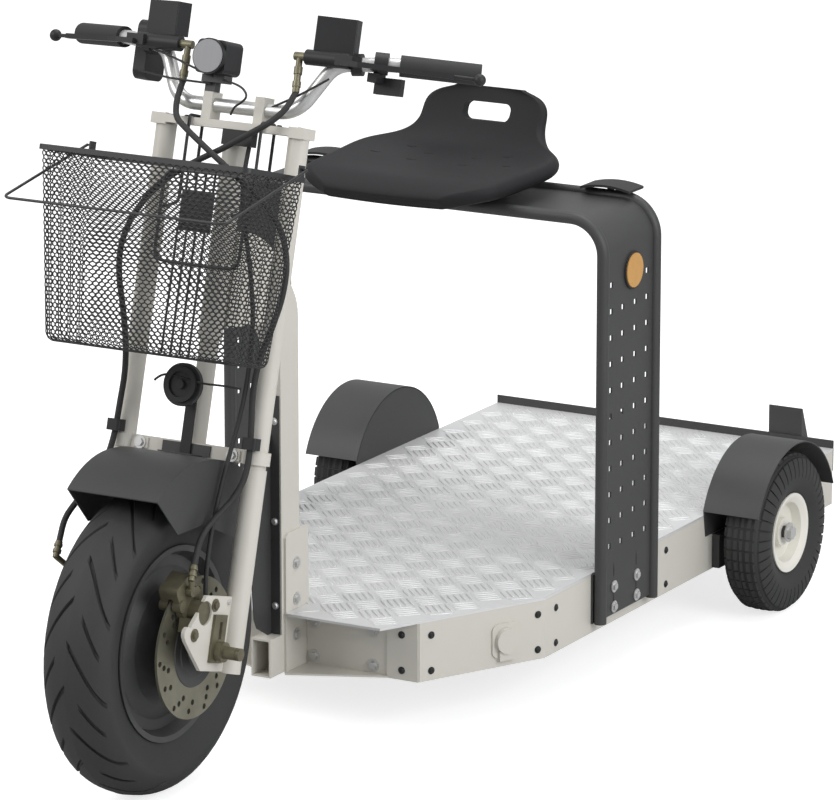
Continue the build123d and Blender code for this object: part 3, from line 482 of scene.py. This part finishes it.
# %% Guide points and the bar tree
bar_tree, entry, leave = new_tree("tread_bars", [
    ("Length", "NodeSocketFloat", 0.046), ("Width", "NodeSocketFloat", 0.0062),
    ("Height", "NodeSocketFloat", 0.0017)])
spindle = node(bar_tree, "GeometryNodeMeshUVSphere", Segments=6, Rings=4, Radius=0.5)
lay = node(bar_tree, "GeometryNodeTransform")
lay.inputs["Rotation"].default_value = (0, pi / 2, 0)
link(bar_tree, spindle, "Mesh", lay, "Geometry")
reach_of_bar = node(bar_tree, "ShaderNodeCombineXYZ")
for key, axis in (("Length", "X"), ("Width", "Y"), ("Height", "Z")):
    link(bar_tree, entry, key, reach_of_bar, axis)
sized = node(bar_tree, "GeometryNodeTransform")
link(bar_tree, lay, "Geometry", sized, "Geometry")
link(bar_tree, reach_of_bar, "Vector", sized, "Scale")
bars = turned_on_points(bar_tree, entry, sized.outputs["Geometry"], axis="X")
close_tree(bar_tree, entry, bars.outputs["Instances"], leave)

# %% Bars inside the deck's outline
deck_top, deck_front_y, deck_rear_y, deck_corner_y, deck_front_half = 188.0, -386.0, 959.0, -106.5, 193.0
group_x, group_y, bar_pitch, bar_length, bar_width = 70.0, 68.8, 10.5, 46.0, 6.0
tread_x, tread_y = 5, 440


def on_deck(x, y, margin=4.0):
    """True where the deck plate carries tread."""
    slope = (deck_half - deck_front_half) / (deck_corner_y - deck_front_y)
    half = deck_half if y > deck_corner_y else deck_half - slope * (deck_corner_y - y)
    near_column = abs(x) < 26 and y < -306
    return abs(x) < half - margin and deck_front_y + margin < y < deck_rear_y - margin and not near_column


treads = {-1: [], 1: []}
for lean, shift in ((-1, 0.0), (1, 0.5)):
    step = Vector((1, lean)).normalized()
    across = Vector((1, -lean)).normalized()
    for i in range(-6, 7):
        for j in range(-9, 14):
            middle = Vector((tread_x + group_x * (i + shift), tread_y - group_y * (j + shift)))
            for k in range(-2, 3):
                centre = middle + across * bar_pitch * k
                ends = [centre + step * bar_length / 2 * s for s in (-1, 1)]
                if all(on_deck(*end) for end in ends):
                    treads[lean].append((spot(centre.x, centre.y, deck_top), (step.x, step.y, 0)))
for name, lean, height in (("deck_tread_across", -1, 0.0036), ("deck_tread_along", 1, 0.0018)):
    tread_guide = guide_of(name, *zip(*treads[lean]))
    bar_sizes = {"Length": bar_length * MM, "Width": bar_width * MM, "Height": height}
    grown(name, tread_guide, bar_tree, bar_sizes, "frame", "deck_metal", smooth=True)
    print(name, "bars:", len(treads[lean]))

# %% [markdown]
# ## Mesh of the basket
# The basket is black coated expanded metal. A picture of holes would look flat at its edge, so every wire
# is made: the guide is a net of staggered six-sided cells, wrapped round the basket's tapering walls and
# laid on its floor, and a Geometry Nodes tree turns each edge into a four-sided wire.

# %% The outline of the basket's walls
floor_h, basket_back, basket_front, basket_half = rim_h - 292.0, 91.0, 262.0, 184.0
low_half, low_front = basket_half - 18.0, basket_front - 51.0
wall_top = rim_h - 6.0
cell_width, cell_height, corner_turn = 7.5, 5.75, 12.0
basket_corner, least_corner, mesh_in, zigzag = 14.0, 4.0, 1.5, 0.24


def ring_point(share, inset, h):
    """A point round the basket's rounded outline at a height, share running from 0 to 1."""
    t = (h - floor_h) / (wall_top - floor_h)
    half = low_half + (basket_half - low_half) * t - inset
    near, far = basket_back + inset, low_front + (basket_front - low_front) * t - inset
    r = max(basket_corner - inset, least_corner)
    w, d = 2 * (half - r), (far - near) - 2 * r
    arc = pi * r / 2
    s = share * (2 * w + 2 * d + 4 * arc)
    corners = ((-1, 1, w, 0), (1, 1, d, 1), (1, -1, w, 2), (-1, -1, d, 3))
    for cx, cf, run, turn in corners:
        x0, f0 = cx * (half - r), (near + far) / 2 + cf * ((far - near) / 2 - r)
        along = (cos(-turn * pi / 2), sin(-turn * pi / 2))
        out = (-along[1], along[0])
        if s <= run:
            return x0 + along[0] * s + out[0] * r, f0 + along[1] * s + out[1] * r
        s -= run
        x1, f1 = x0 + along[0] * run, f0 + along[1] * run
        if s <= arc:
            a = s / r
            return (x1 + r * (out[0] * cos(a) + along[0] * sin(a)),
                    f1 + r * (out[1] * cos(a) + along[1] * sin(a)))
        s -= arc
    return ring_point(0.0, inset, h)


# %% The net's walls
# A column is half a cell, so the wall has 84 cells round.
net_points, net_edges, net_index = [], [], {}
wall_run = corner_turn * pi / 2 + (wall_top - floor_h - corner_turn)
rows = round(wall_run / cell_height)
columns = 168


def net_vertex(key, point):
    if key not in net_index:
        net_index[key] = len(net_points)
        net_points.append(point)
    return net_index[key]


def wall_vertex(k, r):
    """Corner k of row r: the rows zigzag, and next rows are half a cell apart."""
    k %= columns
    peak = zigzag if (k + r) % 2 else -zigzag
    run = max((r + peak) * wall_run / rows, 0.0)
    if run < corner_turn * pi / 2:
        a = run / corner_turn
        inset, h = mesh_in + corner_turn * (1 - sin(a)), floor_h + mesh_in + corner_turn * (1 - cos(a))
    else:
        inset, h = mesh_in, floor_h + mesh_in + run - corner_turn * (pi / 2 - 1)
    x, f = ring_point(k / columns, inset, min(h, wall_top))
    return net_vertex((k, r), steered(x, f, min(h, wall_top)))


for r in range(rows + 1):
    for k in range(columns):
        net_edges.append((wall_vertex(k, r), wall_vertex(k + 1, r)))
        if r < rows and (k + r) % 2:
            net_edges.append((wall_vertex(k, r), wall_vertex(k, r + 1)))
print("wall of the net:", rows, "rows,", columns, "columns")

# %% The net's floor
edge_inset = corner_turn + 1.0
floor_columns = int(2 * (low_half - edge_inset) / (cell_width / 2))
floor_rows = int((low_front - basket_back - 2 * edge_inset) / cell_height)


def floor_vertex(k, r):
    x = -low_half + edge_inset + k * cell_width / 2
    peak = zigzag if (k + r) % 2 else -zigzag
    f = basket_back + edge_inset + (r + 0.3 + peak) * cell_height
    return net_vertex(("floor", k, r), steered(x, f, floor_h + mesh_in))


for r in range(floor_rows + 1):
    for k in range(floor_columns + 1):
        if k < floor_columns:
            net_edges.append((floor_vertex(k, r), floor_vertex(k + 1, r)))
        if r < floor_rows and (k + r) % 2:
            net_edges.append((floor_vertex(k, r), floor_vertex(k, r + 1)))
print("floor of the net:", floor_rows, "rows,", floor_columns, "columns")

# %% The tree that turns edges into wires
wire_tree, entry, leave = new_tree("wires", [
    ("Wire radius", "NodeSocketFloat", 0.001), ("Sides", "NodeSocketInt", 4)])
runs = node(wire_tree, "GeometryNodeMeshToCurve")
link(wire_tree, entry, "Geometry", runs, "Mesh")
section = node(wire_tree, "GeometryNodeCurvePrimitiveCircle")
link(wire_tree, entry, "Sides", section, "Resolution")
link(wire_tree, entry, "Wire radius", section, "Radius")
wires = node(wire_tree, "GeometryNodeCurveToMesh")
link(wire_tree, runs, "Curve", wires, "Curve")
link(wire_tree, section, "Curve", wires, "Profile Curve")
close_tree(wire_tree, entry, wires.outputs["Mesh"], leave)
net = guide_of("basket_mesh", net_points, [(0, 0, 1)] * len(net_points), net_edges)
net_sizes = {"Wire radius": 0.0010, "Sides": 4}
basket_mesh = grown("basket_mesh", net, wire_tree, net_sizes, "steering", "mesh_metal")
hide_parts("basket")
print("net:", len(net_points), "corners,", len(net_edges), "wires")


# %% [markdown]
# ## Wires and thin cables
# The handlebar's control cables, the horn's lead and the basket's inner frame are round wire. Each is a
# NURBS curve with a round bevel, made a plain mesh, because a curve bends evenly through few points.
# The throttle's cable reaches its fittings at both ends; the other cables stop 2 to 22 mm short of theirs.

# %% A round wire through a few points
def wire(name, points, radius, body, slot, closed=False):
    """A round wire near its points, which it meets at its two ends."""
    curve = bpy.data.curves.new(name, "CURVE")
    curve.dimensions = "3D"
    curve.bevel_depth, curve.bevel_resolution = radius, 2
    curve.resolution_u = 6
    curve.use_fill_caps = True
    spline = curve.splines.new("NURBS")
    spline.points.add(len(points) - 1)
    for corner, p in zip(spline.points, points):
        corner.co = (*p, 1)
    spline.order_u = 3
    spline.use_cyclic_u = closed
    spline.use_endpoint_u = not closed
    holder = bpy.data.objects.new(name + "_curve", curve)
    bpy.context.scene.collection.objects.link(holder)
    mesh = bpy.data.meshes.new_from_object(holder.evaluated_get(bpy.context.evaluated_depsgraph_get()))
    bpy.data.objects.remove(holder)
    mesh.materials.clear()
    mesh.materials.append(slot_finish[slot])
    mesh.shade_smooth()
    made = bpy.data.objects.new(name, mesh)
    bpy.context.scene.collection.objects.link(made)
    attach(made, body)


# %% The basket's inner frame and stays
frame_f = basket_back + 5.5
inner_frame = [(-59, 838), (-59, 802), (-23, 800), (54, 800), (90, 802), (90, 838), (90, 902), (90, 938),
               (54, 940), (-23, 940), (-59, 938), (-59, 902)]
frame_points = [steered(x, frame_f, h) for x, h in inner_frame]
wire("basket_inner_frame", frame_points, 0.0026, "steering", "mesh_metal", closed=True)
for k, x in enumerate((-24, -8, 8, 24)):
    low, high = steered(x, frame_f, floor_h + 4), steered(x, frame_f, rim_h - 96)
    wire(f"basket_stay_{k + 1}", [low, low.lerp(high, 0.5), high], 0.0019, "steering", "mesh_metal")

# %% Control cables and the horn's lead
thin_cables = {
    "throttle_cable": [(-163, 10, 1123), (-96, 30, 1107), (-73, 40, 1100), (-38, 30, 1089)],
    "switch_cable": [(-190, 0, 1088), (-136, 20, 1081), (-84, 34, 1078), (-42, 26, 1078)],
    "lamp_lead": [(-21, 28, 1085), (17, 40, 1081), (40, 48, 1064), (24, 44, 1051), (6, 30, 1046),
                  (0, 26, 1034)],
    "bar_cable": [(47, 14, 1044), (74, 18, 1057), (114, 22, 1075), (159, 20, 1104)],
    "horn_lead": [(-48, 66, 620), (-37, 66, 632), (-9, 66, 631), (35, 66, 624), (78, 62, 626), (98, 54, 624)],
}
for name, route in thin_cables.items():
    wire(name, [steered(*p) for p in route], 0.0018, "steering", "rubber_black")
print("thin cables:", len(thin_cables))


# %% [markdown]
# ## Treaded tyres
# The solids' tyres are smooth rings. Grooves could be cut by booleans or drawn as bump, but here each tyre is
# a ring of the same section whose grid follows its tread: columns of the grid lie along the grooves, so a
# groove has crisp edges with few faces.

# %% A ring with grooves
def treaded(name, node_name, body, half_section, centre, pitches, shear, depth, ribs=()):
    """half_section runs from crown to bead as (distance from the middle, radius).
    The grooves are half as deep where they fade down the side wall."""
    half = [Vector(p) for p in half_section]
    crown, wall_end, fine = [], 6, 4
    for a, b, c, d in zip([half[0]] + half[:wall_end - 1], half[:wall_end], half[1:wall_end + 1],
                          half[2:wall_end + 2]):
        for step in range(fine):
            t = step / fine
            crown.append(0.5 * (2 * b + (c - a) * t + (2 * a - 5 * b + 4 * c - d) * t ** 2
                                + (3 * b - a - 3 * c + d) * t ** 3))
    outline = crown + half[wall_end:]
    ring = [(-p.x, p.y) for p in reversed(outline[1:])] + [(p.x, p.y) for p in outline]
    widest = max(p[0] for p in ring)
    low = half[3].y
    middle_r, fade, rib_half = low - 12, 10, 2.2
    columns_at = (0.0, 0.10, 0.13, 0.25, 0.28, 0.64)
    points = []
    for pitch in range(pitches):
        for share in columns_at:
            in_groove = share in (0.13, 0.25)
            for a, r in ring:
                width = min(abs(a) / widest, 1.0)
                turn = 2 * pi * (pitch + share) / pitches + shear * (0.6 * width + 0.4 * width ** 2)
                long_one = (pitch % 2 == 0) == (a > 0)
                starts, ends = (0.05, 0.93) if long_one else (0.42, 0.82)
                cut = in_groove and (not shear or starts < width < ends)
                drop = depth if cut and r > low else depth * 0.5 if cut and r > low - fade else 0.0
                if any(abs(abs(a) - rib) < rib_half for rib in ribs) and r > low:
                    drop = depth
                pull = Vector((a, r - middle_r)).normalized() * drop
                aa, rr = a - pull.x, r - pull.y
                points.append(spot(centre[0] + aa, centre[1] + rr * cos(turn), centre[2] + rr * sin(turn)))
    count, total = len(ring), pitches * len(columns_at)
    faces = []
    for c in range(total):
        for k in range(count):
            n, m = (c + 1) % total, (k + 1) % count
            faces.append((c * count + k, c * count + m, n * count + m, n * count + k))
    made = piece_of(name, points, [], faces, body, "tyre", smooth=True)
    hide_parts(node_name)
    print(name, len(faces), "faces")


# %% The three tyres
front_section = [(0, 237), (25.2, 233), (44.8, 222), (56, 204), (54.3, 189), (44.8, 162), (40.3, 152),
                 (34.7, 142)]
treaded("front_tyre_treaded", "front_tyre", "front_wheel", front_section, front_axle_at,
        pitches=22, shear=0.46, depth=4.5)
rear_section = [(0, 136.5), (23.6, 135), (32.7, 127.5), (38, 106.5), (37.2, 90.5), (31.2, 74.5), (27.4, 68.5),
                (25.1, 56.5)]
rear_tyre_x = 398.0
for name, sign in (("left", 1), ("right", -1)):
    treaded(f"rear_tyre_treaded_{name}", f"rear_tyre_{name}", f"rear_wheel_{name}", rear_section,
            (sign * rear_tyre_x, rear_axle_y, rear_axle_z), pitches=44, shear=0.0, depth=3.0,
            ribs=(6.5, 18.0, 29.0))

# %% [markdown]
# ## Hub covers
# Inside each brake disc the motor's grey end cover shows. It is a turned part with two steps, so its closed
# profile is spun about the axle, as on a lathe.


# %% A turned cover
turn_steps = 72


def turned(name, profile, centre, side, body, slot):
    """A closed profile of (distance from the middle plane, radius) spun about the wheel's axle."""
    points, faces = [], []
    for c in range(turn_steps):
        a = 2 * pi * c / turn_steps
        points += [spot(centre[0] + side * x, centre[1] + r * cos(a), centre[2] + r * sin(a))
                   for x, r in profile]
    count = len(profile)
    for c in range(turn_steps):
        n = (c + 1) % turn_steps
        for k in range(count):
            m = (k + 1) % count
            faces.append((c * count + k, c * count + m, n * count + m, n * count + k))
    return piece_of(name, points, [], faces, body, slot, smooth=True)


cover_profile = [(82.1, 61), (83.6, 60), (83.6, 47), (85.0, 45), (85.0, 27), (87.0, 25), (87.0, 12),
                 (82.1, 12)]
for name, sign in (("left", 1), ("right", -1)):
    cover = turned(f"hub_cover_{name}", cover_profile, front_axle_at, sign, "front_wheel", "motor_metal")
    print(cover.name, len(cover.data.polygons), "faces")

# %% [markdown]
# ## Slots in the seat and at the arch's feet
# The seat's moulding has eight short slots, and the arch's feet have eight slotted holes by their bolts. On
# the solids both are plain, so the bar tree sets a low, very dark spindle for each. Its near-black colour is
# painted shade in place of the shade inside the slots and holes. A slot of the seat finds its place by
# casting a ray down onto the shell.

# %% Seat slots
seat = frame["nodes"]["seat_shell"]
slot_places, slot_ways, above_seat = [], [], 1200
for x, y in ((122, 150), (90, 214), (45, 190), (48, 137)):
    for side_x in (x, -x):
        struck, place, normal, _ = seat.ray_cast(spot(side_x, y, above_seat), -up)
        if struck:
            slot_places.append(place)
            slot_ways.append(left - normal * normal.x)
slot_guide = guide_of("seat_slots", slot_places, slot_ways)
seat_slot_sizes = {"Length": 0.019, "Width": 0.011, "Height": 0.0012}
seat_slots = grown("seat_slots", slot_guide, bar_tree, seat_slot_sizes, "frame", "seat_plastic", smooth=True)
# Painted shade: near-black and almost without sheen, standing in for the shade inside each slot.
painted_slot_shade = finish("painted_slot_shade", (0.002, 0.002, 0.002), rough=0.9, specular=0.05)
seat_slots.data.materials[0] = painted_slot_shade

# %% Slots at the arch's feet
foot_places = [spot(sign * 349.4, y, z) for sign in (-1, 1) for y in (100.6, 180) for z in (139.5, 184)]
foot_guide = guide_of("arch_foot_slots", foot_places, [up] * len(foot_places))
foot_sizes = {"Length": 0.026, "Width": 0.0035, "Height": 0.0035}
foot_slots = grown("arch_foot_slots", foot_guide, bar_tree, foot_sizes, "frame", "dark_paint", smooth=True)
# The slotted holes in the arch's feet take the same painted shade, in place of the shade inside them.
foot_slots.data.materials[0] = painted_slot_shade

# %% [markdown]
# ## Rear mudguards
# Each rear mudguard is one rolled sheet over the wheel with a flat cheek against the tray. The solids roll it
# in ten flats, which smooth shading alone can't hide at the edge. Here the same sheet has sixty, so that its
# sheen runs round evenly.

# %% Rolled sheets
sheet_in, sheet_out, guard_out, cheek_foot, cheek_wider = 155.0, 157.0, 437, 150, 8
roll_steps, roll_start, roll_end = 60, radians(20), radians(158)


def rolled(radius, x):
    """Points along the roll at a radius, at one distance across the vehicle."""
    angles = [roll_start + (roll_end - roll_start) * k / roll_steps for k in range(roll_steps + 1)]
    return [(x, rear_axle_y + radius * cos(a), rear_axle_z + radius * sin(a)) for a in angles]


def rear_mudguard(side):
    """Points and faces of one rolled sheet and the flat cheek inside it."""
    lines = [rolled(sheet_in, deck_half), rolled(sheet_out, deck_half),
             rolled(sheet_out, guard_out), rolled(sheet_in, guard_out)]
    count = roll_steps + 1
    points = [p for row in lines for p in row]
    faces = []
    for row in range(4):
        after = (row + 1) % 4
        faces += [(row * count + k, row * count + k + 1, after * count + k + 1, after * count + k)
                  for k in range(roll_steps)]
    faces += [(0, count, 2 * count, 3 * count), tuple(r * count + roll_steps for r in range(4))]
    base = len(points)
    rim = [(y, z) for x, y, z in rolled(sheet_out - 1, deck_half)]
    rim += [(rim[-1][0] + cheek_wider, cheek_foot), (rim[0][0] - cheek_wider, cheek_foot)]
    for x in (deck_half, deck_half + 2):
        points += [(x, y, z) for y, z in rim]
    n = len(rim)
    faces += [tuple(range(base, base + n)), tuple(range(base + n, base + 2 * n))]
    faces += [(base + k, base + (k + 1) % n, base + n + (k + 1) % n, base + n + k) for k in range(n)]
    return [spot(side * x, y, z) for x, y, z in points], faces


left_points, left_faces = rear_mudguard(1)
right_points, right_faces = rear_mudguard(-1)
shift = len(left_points)
guard_faces = left_faces + [tuple(shift + k for k in face) for face in right_faces]
mudguards = piece_of("rear_mudguards_rolled", left_points + right_points, [], guard_faces, "frame",
                     "dark_paint", smooth=True)
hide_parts("rear_mudguards")
print("rolled sheets:", len(mudguards.data.polygons), "faces")
